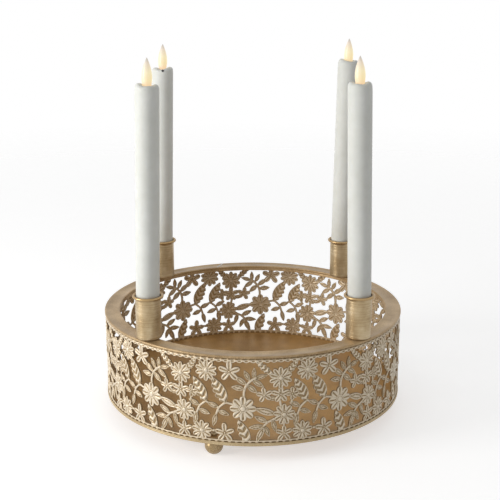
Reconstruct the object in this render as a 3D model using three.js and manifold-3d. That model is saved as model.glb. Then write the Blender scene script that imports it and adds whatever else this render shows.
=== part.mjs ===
// Candle wreath: a round tray on ball feet with a pierced flower band, a flat rim
// that carries four candle cups, and four battery taper candles that lift out.
// Millimetres, +Z up. The origin is on the table, under the middle of the tray.
// The front is towards -Y. Angles go round from the front (-Y) towards +X.
import * as THREE from "three";
import { mergeVertices } from "three/addons/utils/BufferGeometryUtils.js";
import Module from "manifold-3d";

const wasm = await Module();
wasm.setup();

// Play between two pieces that touch, and how far a cutting shape reaches past the piece
const PLAY = 0.3;
const OVERCUT = 1;

// Tray
const TRAY_RADIUS = 150;
const TRAY_STEPS = 40;
const EDGE_SHEET = 0.7;

// Pan: closed floor with an upturned lip outside the band. Its lower edge is clear of the table.
const PAN_CLEARANCE = 17;
const PAN_SHEET = 0.8;
const PAN_RAISE = 1.2;
const PAN_SLOPE = 2;
const PAN_LIP_HEIGHT = 3.3;

// Rim: flat ring with a turned-down inner lip and outer edge
const RIM_FLAT_WIDTH = 15.4;
const RIM_SHEET = 1;
const RIM_LIP_DROP = 5;
const RIM_EDGE_DROP = 1.8;
const RIM_ROUNDING = 0.8;

// Flower band
const BAND_HEIGHT = 84.3;
const LACE_SHEET = 0.9;
const BAND_HEM_SHEET = 1.6;
const BAND_HEM_FOOT = 2.3;
const BAND_HEM_HEAD = 4.7;
const PANEL_COUNT = 10;
const PANEL_STEPS = 4;
const PATTERN_TURN = -3.4;

// Candle cups, standing this far in from the edge of the tray
const CUP_COUNT = 4;
const CUP_FIRST_ANGLE = -44.5;
const CUP_INSET = 11.5;
const CUP_CLEARANCE = 0.55;
const CUP_WALL = 0.4;
const CUP_HEIGHT = 42;
const CUP_FLOOR = 0.8;
const CUP_CORNER = 1.5;
const CUP_CORNER_STEPS = 2;
const CUP_LIP_DIAMETER = 29.6;
const CUP_LIP_HEIGHT = 2.6;
const CUP_LIP_STEPS = 2;

// Cup rivets
const RIVET_SHANK = 3.2;
const RIVET_HEAD = 7;
const RIVET_HEAD_HEIGHT = 1;
const RIVET_CROWN = 4.6;
const RIVET_TAIL = 5.6;

// Ball feet, this far in from the edge of the tray
const FOOT_COUNT = 3;
const FOOT_FIRST_ANGLE = -15.8;
const FOOT_INSET = 17;
const FOOT_BALL = 17.6;
const FOOT_FLAT = 0.3;
const FOOT_BALL_STEPS = 5;
const FOOT_NECK = 8;
const FOOT_SCREW_SHANK = 3.4;
const FOOT_SCREW_HEAD = 7;
const FOOT_SCREW_HEAD_HEIGHT = 1.8;
const FOOT_SCREW_DEPTH = 10;

// Candles
const CANDLE_DIAMETER = 22;
const CANDLE_FOOT_DIAMETER = 20;
const CANDLE_FOOT_LENGTH = 35;
const CANDLE_CHAMFER = 1;
const CANDLE_SHOULDER = 1.8;
const CANDLE_BORE = 16.6;
const CANDLE_TOP_THICKNESS = 5;
const CANDLE_DISH_DEPTH = 2.2;
const CANDLE_DISH_DIAMETER = 14.6;
const CANDLE_DISH_FLOOR = 8.5;

// Each candle has its own length of wax, and its own lean in the cup in degrees towards +X
const CANDLE_NAMES = ["front_left", "front_right", "back_right", "back_left"];
const CANDLE_LENGTHS = [233.2, 234.6, 232.6, 227];
const CANDLE_LEANS = [1.2, -1.3, 1, 1.25];

// Flame tips
const FLAME_DIAMETER = 9.6;
const FLAME_LENGTH = 26;
const FLAME_STEM = 5.4;
const FLAME_SOCKET = 3.4;
const FLAME_POCKET_DEPTH = 5;

// Outline of the flame: share of its full width, at a share of its height
const FLAME_OUTLINE = [
  [0.84, 0.04],
  [1, 0.32],
  [0.82, 0.6],
  [0.4, 0.84],
];

// Inside the candles
const BOARD_THICKNESS = 1.6;
const LED_DIAMETER = 2.4;
const CELL_DIAMETER = 10.5;
const CELL_LENGTH = 43.7;
const CELL_NUB = 3.8;
const CELL_NUB_HEIGHT = 0.8;
const HOLDER_WALL = 0.8;
const HOLDER_COLLAR = 3;

// Base cap and switch
const CAP_FLANGE = 3;
const CAP_PLUG = 6;
const SWITCH_TRAVEL = 2.5;
const SWITCH_LENGTH = 3;
const SWITCH_WIDTH = 2.4;
const SWITCH_RECESS = 0.2;
const SWITCH_POCKET_DEPTH = 2.4;
const SWITCH_OFFSET = 5;

// Steps round each turned piece
const CUP_STEPS = 12;
const CANDLE_STEPS = 12;
const FOOT_STEPS = 10;
const FLAME_STEPS = 8;
const INNER_STEPS = 6;

// Heights worked out from the sizes above
const floorUnderside = PAN_CLEARANCE + PAN_RAISE;
const floorTop = floorUnderside + PAN_SHEET;
const bandTop = floorTop + BAND_HEIGHT;
const rimTop = bandTop + RIM_SHEET;
const cupFloorTop = rimTop + CUP_FLOOR;

// Corner radius of a bore with this many flats, where each flat keeps the radius given
function boreRadius(radius, steps) {
  return radius / Math.cos(Math.PI / steps);
}

// Largest radius that turns freely in a bore with this corner radius
function freeRadius(corner, steps) {
  return corner * Math.cos(Math.PI / steps) - PLAY;
}

const lipInnerRadius = TRAY_RADIUS - EDGE_SHEET;
const bandRadius = freeRadius(lipInnerRadius, TRAY_STEPS);

// Materials
function metal(colour, roughness) {
  return new THREE.MeshStandardMaterial({ color: colour, roughness, metalness: 1 });
}

function dull(colour, roughness) {
  return new THREE.MeshStandardMaterial({ color: colour, roughness, metalness: 0 });
}

const rimGold = metal(0xb9a17f, 0.4);
const bandGold = metal(0xcfc3a8, 0.45);
const cupGold = metal(0xc2a877, 0.3);
const panGold = metal(0x8b7350, 0.5);
const footGold = metal(0xb89a66, 0.3);
const steel = metal(0xb8b8b8, 0.4);
const wax = dull(0xe6e8e0, 0.6);
const flameGlow = dull(0xffdd99, 0.4);
const boardGreen = dull(0x2f6b46, 0.6);
const holderGrey = dull(0x8f9294, 0.5);
const cellCase = metal(0x9aa0a6, 0.35);
const capWhite = dull(0xe4e4dc, 0.45);
const switchBlack = dull(0x222222, 0.5);

// Solids
function closedSolid(geometry) {
  return new wasm.Manifold(
    new wasm.Mesh({
      numProp: 3,
      vertProperties: geometry.attributes.position.array,
      triVerts: new Uint32Array(geometry.index.array),
    }),
  );
}

// The same where neighbouring faces still have corners of their own
function solidOf(geometry) {
  const bare = geometry.clone();
  bare.deleteAttribute("normal");
  bare.deleteAttribute("uv");
  return closedSolid(mergeVertices(bare, 1e-4));
}

function geometryOf(solid) {
  const mesh = solid.getMesh();
  const positions = new THREE.BufferAttribute(new Float32Array(mesh.vertProperties), 3);
  return new THREE.BufferGeometry()
    .setAttribute("position", positions)
    .setIndex(new THREE.BufferAttribute(new Uint32Array(mesh.triVerts), 1));
}

function namedMesh(name, geometry, material) {
  if (!geometry.getAttribute("normal")) geometry.computeVertexNormals();
  const mesh = new THREE.Mesh(geometry, material);
  mesh.name = name;
  return mesh;
}

// A profile of [radius, height] points, turned about Z
function turned(profile, steps) {
  const points = profile.map(([radius, height]) => new THREE.Vector2(radius, height));
  return new THREE.LatheGeometry(points, steps).rotateX(Math.PI / 2);
}

// The same for a profile that closes on itself, round a hole
function turnedRing(profile, steps) {
  return turned([...profile, profile[0]], steps);
}

// Points on an arc in the profile plane, both ends included
function arc(centre, radius, fromDegrees, toDegrees, steps) {
  return Array.from({ length: steps + 1 }, (_, i) => {
    const angle = THREE.MathUtils.degToRad(
      fromDegrees + ((toDegrees - fromDegrees) * i) / steps,
    );
    return [centre[0] + radius * Math.cos(angle), centre[1] + radius * Math.sin(angle)];
  });
}

function cylinderAt(x, y, fromZ, toZ, radius, steps) {
  return new THREE.CylinderGeometry(radius, radius, toZ - fromZ, steps)
    .rotateX(Math.PI / 2)
    .translate(x, y, (fromZ + toZ) / 2);
}

// Places round the tray
function placeAt(degrees, radius) {
  const angle = THREE.MathUtils.degToRad(degrees);
  return [radius * Math.sin(angle), -radius * Math.cos(angle)];
}

const cupPlaces = CANDLE_NAMES.slice(0, CUP_COUNT).map((name, i) => {
  const degrees = CUP_FIRST_ANGLE + (i * 360) / CUP_COUNT;
  const [x, y] = placeAt(degrees, TRAY_RADIUS - CUP_INSET);
  return { name, x, y, lean: CANDLE_LEANS[i], length: CANDLE_LENGTHS[i] };
});

const footPlaces = Array.from({ length: FOOT_COUNT }, (_, i) => {
  const degrees = FOOT_FIRST_ANGLE + (i * 360) / FOOT_COUNT;
  const [x, y] = placeAt(degrees, TRAY_RADIUS - FOOT_INSET);
  return { name: String(i + 1), x, y };
});

// Rim
function rimProfile() {
  const inner = TRAY_RADIUS - RIM_FLAT_WIDTH;
  const cornerHeight = rimTop - RIM_ROUNDING;
  return [
    [inner, rimTop - RIM_LIP_DROP],
    [inner + RIM_SHEET, rimTop - RIM_LIP_DROP],
    [inner + RIM_SHEET, bandTop],
    [lipInnerRadius, bandTop],
    [lipInnerRadius, rimTop - RIM_EDGE_DROP],
    [TRAY_RADIUS, rimTop - RIM_EDGE_DROP],
    [TRAY_RADIUS, cornerHeight],
    [TRAY_RADIUS - RIM_ROUNDING, rimTop],
    [inner + RIM_ROUNDING, rimTop],
    [inner, cornerHeight],
  ];
}

function rimRing() {
  let ring = solidOf(turnedRing(rimProfile(), TRAY_STEPS));
  for (const { x, y } of cupPlaces) {
    const hole = boreRadius(RIVET_SHANK / 2 + PLAY, INNER_STEPS);
    const drill = cylinderAt(x, y, bandTop - OVERCUT, rimTop + OVERCUT, hole, INNER_STEPS);
    ring = ring.subtract(solidOf(drill));
  }
  return namedMesh("rim_ring", geometryOf(ring), rimGold);
}

// Pan
function panProfile() {
  const lipTop = PAN_CLEARANCE + PAN_LIP_HEIGHT;
  return [
    [0, floorUnderside],
    [TRAY_RADIUS - PAN_SHEET - PAN_SLOPE, floorUnderside],
    [TRAY_RADIUS - PAN_SHEET, PAN_CLEARANCE],
    [TRAY_RADIUS, PAN_CLEARANCE],
    [TRAY_RADIUS, lipTop],
    [lipInnerRadius, lipTop],
    [lipInnerRadius, floorTop],
    [0, floorTop],
  ];
}

function trayPan() {
  let pan = solidOf(turned(panProfile(), TRAY_STEPS));
  for (const { x, y } of footPlaces) {
    const hole = boreRadius(FOOT_SCREW_SHANK / 2 + PLAY, INNER_STEPS);
    const bottom = floorUnderside - OVERCUT;
    const drill = cylinderAt(x, y, bottom, floorTop + OVERCUT, hole, INNER_STEPS);
    pan = pan.subtract(solidOf(drill));
  }
  return namedMesh("tray_pan", geometryOf(pan), panGold);
}

// Flower band. The pattern is drawn flat: u runs round the tray and v up from the hem.
// The lists below are in units of the drawing.
const PATTERN_UNIT = 1;
const PATTERN_WIDTH = 93.6;
const PATTERN_FOOT = 2;
const PATTERN_HEAD = 86.3;
const PANEL_EDGE = 12.6;

// Petals: share of the radius where the notches end, share of the pitch at each shoulder
const DAISY_PETAL = [0.62, 0.24];
const BLOSSOM_PETAL = [0.36, 0.14];
const BLOSSOM_PETALS = 5;

// Feather edge after the tip: share of the length, share of the width to the left
const FEATHER_BACK = [0.42, -0.6];
const FEATHER_TEETH = [
  [0.76, 0.15],
  [0.62, 0.5],
  [0.48, 0.15],
  [0.3, 0.4],
];

// Round flowers: middle, radius, number of petals, turn of the first petal
const DAISIES = [
  [0, 36.8, 11.2, 7, 0],
  [-34, 72.4, 10.2, 7, 90],
  [34.4, 66.4, 10, 6, 90],
  [37.5, 30.4, 10, 6, 90],
  [-38.6, 12.4, 9.8, 6, 90],
];

// Small flowers with five parted petals: middle, radius, turn of the first petal
const BLOSSOMS = [
  [-12.5, 72.3, 10.4, 90],
  [19.3, 50.2, 7.6, 100],
  [35, 49.4, 9.4, 90],
  [-16.8, 11.6, 9.8, 90],
  [37.6, 12, 8.6, 90],
];

// Leaves: foot, tip, width
const LEAVES = [
  [1.4, 56.2, -9.5, 57.6, 4.6],
  [3, 60.4, -7.4, 68, 4.4],
  [7.4, 64.4, 1.2, 72.6, 4.2],
  [8, 65, 9.6, 75.4, 4.2],
  [3, 59.6, 14.6, 51, 4.8],
  [32, 30.4, 8, 37.4, 6.4],
  [21, 21.6, 13.4, 28, 4.8],
  [20.6, 21, 13, 3.6, 5],
  [28, 26.4, 31.6, 12.8, 4.6],
  [-24, 34, -13, 30.2, 4.6],
  [-24.2, 34.6, -27.4, 19.4, 4.8],
  [-42, 34.6, -45.4, 17.4, 4.8],
];

// Feather leaves with a smooth back and a toothed edge: foot, tip, width
const FEATHERS = [
  [-16, 41.6, -28, 66, 10.5],
  [-34.4, 41.4, -44, 66, 10.5],
  [4.6, 3, -3.6, 26.8, 9.6],
];

// Stems: width and the points that they pass
const STEMS = [
  [2.8, [0, 42], [2.4, 59], [8.4, 66]],
  [2.4, [-6, 40.2], [-16, 43.4], [-25, 33]],
  [2.4, [-22, 37.4], [-34.4, 43.2], [-43, 33]],
  [2.4, [-40.6, 36], [-50, 35]],
  [2.6, [19.6, 20], [33, 29]],
  [2.8, [36, 46], [37, 36]],
  [5.4, [27, 71], [13.6, 85]],
  [5.4, [41, 70], [49, 85]],
];

function polygon(points) {
  return new THREE.Shape(points.map(([u, v]) => new THREE.Vector2(u, v)));
}

function motif(points) {
  return polygon(points.map(([u, v]) => [u * PATTERN_UNIT, v * PATTERN_UNIT]));
}

function around(u, v, radius, degrees) {
  const angle = THREE.MathUtils.degToRad(degrees);
  return [u + radius * Math.cos(angle), v + radius * Math.sin(angle)];
}

// Blunt petals round a middle. Each has two shoulders and is parted from the next by a notch.
function flowerShape(u, v, radius, petals, turn, [notchShare, shoulderShare]) {
  const pitch = 360 / petals;
  const points = [];
  for (let i = 0; i < petals; i += 1) {
    const middle = turn + i * pitch;
    points.push(around(u, v, radius, middle - pitch * shoulderShare));
    points.push(around(u, v, radius, middle + pitch * shoulderShare));
    points.push(around(u, v, radius * notchShare, middle + pitch / 2));
  }
  return motif(points);
}

// A point this share of the way from foot to tip, and this far to the left of the line
function beside(foot, tip, share, offset) {
  const du = tip[0] - foot[0];
  const dv = tip[1] - foot[1];
  const length = Math.hypot(du, dv);
  return [
    foot[0] + du * share - (dv / length) * offset,
    foot[1] + dv * share + (du / length) * offset,
  ];
}

function leafShape(footU, footV, tipU, tipV, width) {
  const foot = [footU, footV];
  const tip = [tipU, tipV];
  return motif([
    foot,
    beside(foot, tip, 0.5, -width / 2),
    tip,
    beside(foot, tip, 0.5, width / 2),
  ]);
}

function featherShape(footU, footV, tipU, tipV, width) {
  const foot = [footU, footV];
  const tip = [tipU, tipV];
  const at = ([share, offset]) => beside(foot, tip, share, offset * width);
  return motif([foot, at(FEATHER_BACK), tip, ...FEATHER_TEETH.map(at)]);
}

// A ribbon of even width along the points
function stemShape(width, ...points) {
  const last = points.length - 1;
  const side = (offset) =>
    points.map((point, i) => {
      const before = points[Math.max(i - 1, 0)];
      const after = points[Math.min(i + 1, last)];
      const across = [before[0] - after[0], before[1] - after[1]];
      const scale = offset / Math.hypot(...across);
      return [point[0] + across[1] * scale, point[1] - across[0] * scale];
    });
  return motif([...side(-width / 2), ...side(width / 2).reverse()]);
}

function patternShapes() {
  return [
    ...DAISIES.map((daisy) => flowerShape(...daisy, DAISY_PETAL)),
    ...BLOSSOMS.map(([u, v, radius, turn]) =>
      flowerShape(u, v, radius, BLOSSOM_PETALS, turn, BLOSSOM_PETAL),
    ),
    ...LEAVES.map((leaf) => leafShape(...leaf)),
    ...FEATHERS.map((feather) => featherShape(...feather)),
    ...STEMS.map((stem) => stemShape(...stem)),
  ];
}

function flatSheet(shape) {
  return new THREE.ExtrudeGeometry(shape, { depth: LACE_SHEET, bevelEnabled: false });
}

// The lace between the hems, still flat, reaching half into each hem
function flatLace() {
  const window = polygon([
    [PANEL_EDGE - PATTERN_WIDTH, PATTERN_FOOT + BAND_HEM_FOOT / 2],
    [PANEL_EDGE, PATTERN_FOOT + BAND_HEM_FOOT / 2],
    [PANEL_EDGE, PATTERN_HEAD - BAND_HEM_HEAD / 2],
    [PANEL_EDGE - PATTERN_WIDTH, PATTERN_HEAD - BAND_HEM_HEAD / 2],
  ]);
  const motifs = patternShapes().flatMap((shape) => {
    const solid = solidOf(flatSheet(shape));
    return [-1, 0, 1].map((repeat) => solid.translate(repeat * PATTERN_WIDTH, 0, 0));
  });
  return wasm.Manifold.union(motifs).intersect(solidOf(flatSheet(window)));
}

// The angle that a panel covers, with half the play at each end
const playDegrees = THREE.MathUtils.radToDeg(PLAY / bandRadius);
const panelDegrees = 360 / PANEL_COUNT - playDegrees;
const panelEnd = PATTERN_TURN + (PANEL_EDGE * panelDegrees) / PATTERN_WIDTH;

// The flat lace bent round the tray
function bentLace() {
  const heightScale = BAND_HEIGHT / (PATTERN_HEAD - PATTERN_FOOT);
  const innerRadius = bandRadius - (BAND_HEM_SHEET + LACE_SHEET) / 2;
  const geometry = geometryOf(flatLace());
  const position = geometry.getAttribute("position");
  for (let i = 0; i < position.count; i += 1) {
    const degrees = PATTERN_TURN + (position.getX(i) * panelDegrees) / PATTERN_WIDTH;
    const height = floorTop + (position.getY(i) - PATTERN_FOOT) * heightScale;
    const [x, y] = placeAt(degrees, innerRadius + position.getZ(i));
    position.setXYZ(i, x, y, height);
  }
  return closedSolid(geometry);
}

// A plain folded hem along a panel
function hem(foot, height) {
  const degrees = (i) => panelEnd + panelDegrees * (i / PANEL_STEPS - 1);
  const ends = Array.from({ length: PANEL_STEPS + 1 }, (_, i) => degrees(i));
  const outline = polygon([
    ...ends.map((end) => placeAt(end, bandRadius)),
    ...ends.reverse().map((end) => placeAt(end, bandRadius - BAND_HEM_SHEET)),
  ]);
  const sheet = new THREE.ExtrudeGeometry(outline, { depth: height, bevelEnabled: false });
  return solidOf(sheet.translate(0, 0, foot));
}

function lacePanels() {
  const panel = bentLace()
    .add(hem(floorTop, BAND_HEM_FOOT))
    .add(hem(bandTop - BAND_HEM_HEAD, BAND_HEM_HEAD));
  return Array.from({ length: PANEL_COUNT }, (_, i) => {
    const name = `lace_panel_${String(i + 1).padStart(2, "0")}`;
    const mesh = namedMesh(name, geometryOf(panel), bandGold);
    mesh.rotation.z = (i * 2 * Math.PI) / PANEL_COUNT;
    return mesh;
  });
}

// Cups
function cupProfile() {
  const bore = boreRadius(CANDLE_DIAMETER / 2 + CUP_CLEARANCE, CUP_STEPS);
  const outside = bore + CUP_WALL;
  const roll = CUP_LIP_HEIGHT / 2;
  const lip = [CUP_LIP_DIAMETER / 2 - roll, CUP_HEIGHT - roll];
  const hole = boreRadius(RIVET_SHANK / 2 + PLAY, CUP_STEPS);
  return [
    [hole, 0],
    ...arc([outside - CUP_CORNER, CUP_CORNER], CUP_CORNER, 270, 360, CUP_CORNER_STEPS),
    [outside, CUP_HEIGHT - CUP_LIP_HEIGHT],
    ...arc(lip, roll, -90, 90, CUP_LIP_STEPS),
    [bore, CUP_HEIGHT - roll],
    [bore, CUP_FLOOR],
    [hole, CUP_FLOOR],
  ];
}

function candleCup({ name, x, y }) {
  const cup = namedMesh(`candle_cup_${name}`, turnedRing(cupProfile(), CUP_STEPS), cupGold);
  cup.position.set(x, y, rimTop);
  return cup;
}

function cupRivet({ name, x, y }) {
  const grip = CUP_FLOOR + RIM_SHEET;
  const profile = [
    [0, -grip - RIVET_HEAD_HEIGHT],
    [RIVET_TAIL / 2, -grip - RIVET_HEAD_HEIGHT],
    [RIVET_TAIL / 2, -grip],
    [RIVET_SHANK / 2, -grip],
    [RIVET_SHANK / 2, 0],
    [RIVET_HEAD / 2, 0],
    [RIVET_CROWN / 2, RIVET_HEAD_HEIGHT],
    [0, RIVET_HEAD_HEIGHT],
  ];
  const rivet = namedMesh(`cup_rivet_${name}`, turned(profile, INNER_STEPS), steel);
  rivet.position.set(x, y, cupFloorTop);
  return rivet;
}

// Feet
function footProfile() {
  const radius = FOOT_BALL / 2;
  const centre = radius - FOOT_FLAT;
  const flatAngle = THREE.MathUtils.radToDeg(Math.asin(centre / radius));
  const neckAngle = THREE.MathUtils.radToDeg(Math.acos(FOOT_NECK / 2 / radius));
  const hole = boreRadius(FOOT_SCREW_SHANK / 2 + PLAY, FOOT_STEPS);
  return [
    [0, 0],
    ...arc([0, centre], radius, -flatAngle, neckAngle, FOOT_BALL_STEPS),
    [FOOT_NECK / 2, floorUnderside],
    [hole, floorUnderside],
    [hole, floorTop - FOOT_SCREW_DEPTH - PLAY],
    [0, floorTop - FOOT_SCREW_DEPTH - PLAY],
  ];
}

function ballFoot({ name, x, y }) {
  const foot = namedMesh(`ball_foot_${name}`, turned(footProfile(), FOOT_STEPS), footGold);
  foot.position.set(x, y, 0);
  return foot;
}

function footScrew({ name, x, y }) {
  const profile = [
    [0, -FOOT_SCREW_DEPTH],
    [FOOT_SCREW_SHANK / 2, -FOOT_SCREW_DEPTH],
    [FOOT_SCREW_SHANK / 2, 0],
    [FOOT_SCREW_HEAD / 2, 0],
    [FOOT_SCREW_HEAD / 2, FOOT_SCREW_HEAD_HEIGHT],
    [0, FOOT_SCREW_HEAD_HEIGHT],
  ];
  const screw = namedMesh(`foot_screw_${name}`, turned(profile, INNER_STEPS), steel);
  screw.position.set(x, y, floorTop);
  return screw;
}

// Candle, drawn upright with its base at zero
const sleeveFoot = CAP_FLANGE + PLAY;
const sleeveBore = CANDLE_BORE / 2;
const innerRadius = freeRadius(sleeveBore, CANDLE_STEPS);
const lowerCellFoot = CAP_FLANGE + CAP_PLUG + PLAY;
const upperCellFoot = lowerCellFoot + CELL_LENGTH + CELL_NUB_HEIGHT + PLAY;
const holderTop = upperCellFoot + CELL_LENGTH + CELL_NUB_HEIGHT + PLAY;

function sleeveCeiling(length) {
  return length - CANDLE_TOP_THICKNESS;
}

function waxSleeve(length) {
  const socket = boreRadius(FLAME_STEM / 2 + PLAY, CANDLE_STEPS);
  const edge = CANDLE_DIAMETER / 2;
  const dishFloor = length - CANDLE_DISH_DEPTH;
  const profile = [
    [sleeveBore, sleeveFoot],
    [CANDLE_FOOT_DIAMETER / 2, sleeveFoot],
    [CANDLE_FOOT_DIAMETER / 2, CANDLE_FOOT_LENGTH - CANDLE_CHAMFER],
    [edge, CANDLE_FOOT_LENGTH],
    [edge, length - CANDLE_SHOULDER],
    [edge - CANDLE_SHOULDER, length],
    [CANDLE_DISH_DIAMETER / 2, length - CANDLE_DISH_DEPTH / 2],
    [CANDLE_DISH_FLOOR / 2, dishFloor],
    [socket, dishFloor],
    [socket, sleeveCeiling(length)],
    [sleeveBore, sleeveCeiling(length)],
  ];
  return turnedRing(profile, CANDLE_STEPS);
}

function flameTip(length) {
  const foot = sleeveCeiling(length) + PLAY;
  const start = length - CANDLE_DISH_DEPTH;
  const profile = [
    [0, foot + FLAME_POCKET_DEPTH],
    [FLAME_SOCKET / 2, foot + FLAME_POCKET_DEPTH],
    [FLAME_SOCKET / 2, foot],
    [FLAME_STEM / 2, foot],
    [FLAME_STEM / 2, start + PLAY],
    ...FLAME_OUTLINE.map(([width, height]) => [
      (FLAME_DIAMETER / 2) * width,
      start + FLAME_LENGTH * height,
    ]),
    [0, start + FLAME_LENGTH],
  ];
  return turned(profile, FLAME_STEPS);
}

function ledBoard(length) {
  const top = sleeveCeiling(length) - PLAY;
  const led = LED_DIAMETER / 2;
  const ledTop = top + FLAME_POCKET_DEPTH + PLAY;
  const profile = [
    [0, top - BOARD_THICKNESS],
    [innerRadius, top - BOARD_THICKNESS],
    [innerRadius, top],
    [led, top],
    [led, ledTop - led],
    [0, ledTop],
  ];
  return turned(profile, INNER_STEPS);
}

function batteryHolder() {
  const bore = boreRadius(CELL_DIAMETER / 2 + PLAY, INNER_STEPS);
  const wall = bore + HOLDER_WALL;
  const profile = [
    [bore, lowerCellFoot],
    [innerRadius, lowerCellFoot],
    [innerRadius, lowerCellFoot + HOLDER_COLLAR],
    [wall, lowerCellFoot + HOLDER_COLLAR],
    [wall, holderTop - HOLDER_COLLAR],
    [innerRadius, holderTop - HOLDER_COLLAR],
    [innerRadius, holderTop + HOLDER_WALL],
    [0, holderTop + HOLDER_WALL],
    [0, holderTop],
    [bore, holderTop],
    [bore, lowerCellFoot],
  ];
  return turned(profile, INNER_STEPS);
}

function cell(foot) {
  const radius = CELL_DIAMETER / 2;
  const nub = CELL_NUB / 2;
  const shoulder = foot + CELL_LENGTH;
  const profile = [
    [0, foot],
    [radius, foot],
    [radius, shoulder],
    [nub, shoulder],
    [nub, shoulder + CELL_NUB_HEIGHT],
    [0, shoulder + CELL_NUB_HEIGHT],
  ];
  return turned(profile, INNER_STEPS);
}

// Base cap: a flange under the sleeve and a plug inside it, with a pocket for the switch
function baseCap() {
  const profile = [
    [0, 0],
    [CANDLE_FOOT_DIAMETER / 2, 0],
    [CANDLE_FOOT_DIAMETER / 2, CAP_FLANGE],
    [innerRadius, CAP_FLANGE],
    [innerRadius, CAP_FLANGE + CAP_PLUG],
    [0, CAP_FLANGE + CAP_PLUG],
  ];
  const pocket = new THREE.BoxGeometry(
    SWITCH_LENGTH + SWITCH_TRAVEL + 2 * PLAY,
    SWITCH_WIDTH + 2 * PLAY,
    SWITCH_POCKET_DEPTH + OVERCUT,
  ).translate(0, SWITCH_OFFSET, (SWITCH_POCKET_DEPTH - OVERCUT) / 2);
  return geometryOf(solidOf(turned(profile, CANDLE_STEPS)).subtract(solidOf(pocket)));
}

function slideSwitch() {
  const height = SWITCH_POCKET_DEPTH - PLAY - SWITCH_RECESS;
  return new THREE.BoxGeometry(SWITCH_LENGTH, SWITCH_WIDTH, height).translate(
    -SWITCH_TRAVEL / 2,
    SWITCH_OFFSET,
    SWITCH_RECESS + height / 2,
  );
}

// A candle stands in its cup, leaning about the middle of the cup's mouth
function candle({ name, x, y, lean, length }) {
  const upright = new THREE.Group();
  upright.add(
    namedMesh(`wax_${name}`, waxSleeve(length), wax),
    namedMesh(`flame_${name}`, flameTip(length), flameGlow),
    namedMesh(`led_board_${name}`, ledBoard(length), boardGreen),
    namedMesh(`battery_holder_${name}`, batteryHolder(), holderGrey),
    namedMesh(`lower_cell_${name}`, cell(lowerCellFoot), cellCase),
    namedMesh(`upper_cell_${name}`, cell(upperCellFoot), cellCase),
    namedMesh(`base_cap_${name}`, baseCap(), capWhite),
    namedMesh(`switch_${name}`, slideSwitch(), switchBlack),
  );
  const mouth = CUP_HEIGHT - CUP_FLOOR;
  const drop = (CANDLE_FOOT_DIAMETER / 2) * Math.sin(THREE.MathUtils.degToRad(Math.abs(lean)));
  upright.position.z = RIVET_HEAD_HEIGHT + PLAY + drop - mouth;
  const leaning = new THREE.Group();
  leaning.add(upright);
  leaning.rotation.y = THREE.MathUtils.degToRad(lean);
  leaning.position.set(x, y, cupFloorTop + mouth);
  return leaning;
}

// The whole wreath
const wreath = new THREE.Group();
wreath.add(rimRing(), trayPan(), ...lacePanels());
for (const place of footPlaces) wreath.add(ballFoot(place), footScrew(place));
for (const place of cupPlaces) wreath.add(candleCup(place), cupRivet(place), candle(place));

export default wreath;
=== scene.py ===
import math

import bpy
import numpy as np
from mathutils import Matrix, Vector

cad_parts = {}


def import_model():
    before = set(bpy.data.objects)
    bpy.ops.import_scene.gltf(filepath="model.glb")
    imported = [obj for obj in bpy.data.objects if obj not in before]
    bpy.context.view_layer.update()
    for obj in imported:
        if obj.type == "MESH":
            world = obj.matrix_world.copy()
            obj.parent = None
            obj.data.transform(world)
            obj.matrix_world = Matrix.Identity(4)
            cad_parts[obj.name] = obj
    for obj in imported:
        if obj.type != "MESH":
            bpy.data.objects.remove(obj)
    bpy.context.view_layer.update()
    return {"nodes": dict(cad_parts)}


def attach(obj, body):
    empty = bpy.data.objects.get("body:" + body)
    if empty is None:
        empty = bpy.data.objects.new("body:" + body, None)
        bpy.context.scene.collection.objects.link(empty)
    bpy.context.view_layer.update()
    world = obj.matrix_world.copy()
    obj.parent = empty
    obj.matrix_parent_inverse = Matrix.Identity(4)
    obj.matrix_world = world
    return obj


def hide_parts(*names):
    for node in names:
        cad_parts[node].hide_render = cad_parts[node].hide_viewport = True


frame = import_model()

MM = 0.001

# Play between two pieces that touch
PLAY = 0.3

# Tray
TRAY_RADIUS = 150.0
RING_STEPS = 256
EDGE_SHEET = 0.7
FOLD_STEPS = 3

# Rim: flat ring with a shallow recess along its top
RIM_TOP = 104.3
RIM_INNER_RADIUS = 134.6
RIM_SHEET = 1.0
RIM_LIP_DROP = 5.0
RIM_LIP_CHAMFER = 0.2
RIM_EDGE_DROP = 1.8
RIM_EDGE_FOLD = 0.3
RIM_ROUNDING = 0.8
RIM_ROUNDING_STEPS = 6
RIM_RECESS_DEPTH = 0.12
RIM_RECESS_SLOPE = 0.3
RIM_RECESS_OUTER_INSET = 3.0
RIM_RECESS_INNER_INSET = 2.1

# Lines drawn round the inner lip of the rim: drop from the top, half width
RIM_LINES = [(2.5, 0.25), (3.8, 0.2)]
RIM_LINE_DEPTH = 0.25

# Joint in the rim: its angles round the tray at the inner and the outer end, its distance
# from the edges there, and its section as (offset, height)
RIM_JOINT_ANGLES = (197.4, 193.4)
RIM_JOINT_INSET = 1.2
RIM_JOINT_SECTION = [(-0.7, -0.1), (-0.45, 0.12), (0, 0.2), (0.45, 0.12), (0.7, -0.1)]

# Pan, with a shallow recess round its lip
PAN_BOTTOM = 17.0
FLOOR_BOTTOM = 18.2
FLOOR_TOP = 19.0
PAN_LIP_TOP = 20.3
PAN_SLOPE_WIDTH = 2.8
PAN_INNER_FOLD = 0.5
PAN_OUTER_FOLD = 0.6
PAN_CHAMFER = 0.3
PAN_RECESS_DEPTH = 0.12
PAN_RECESS_FOOT = 1.4
PAN_RECESS_HEAD = 1.0
PAN_RECESS_SLOPE = 0.2
PAN_ROLL_STEPS = 6
PAN_FLOOR_RINGS = (60.0, 120.0)

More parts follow.
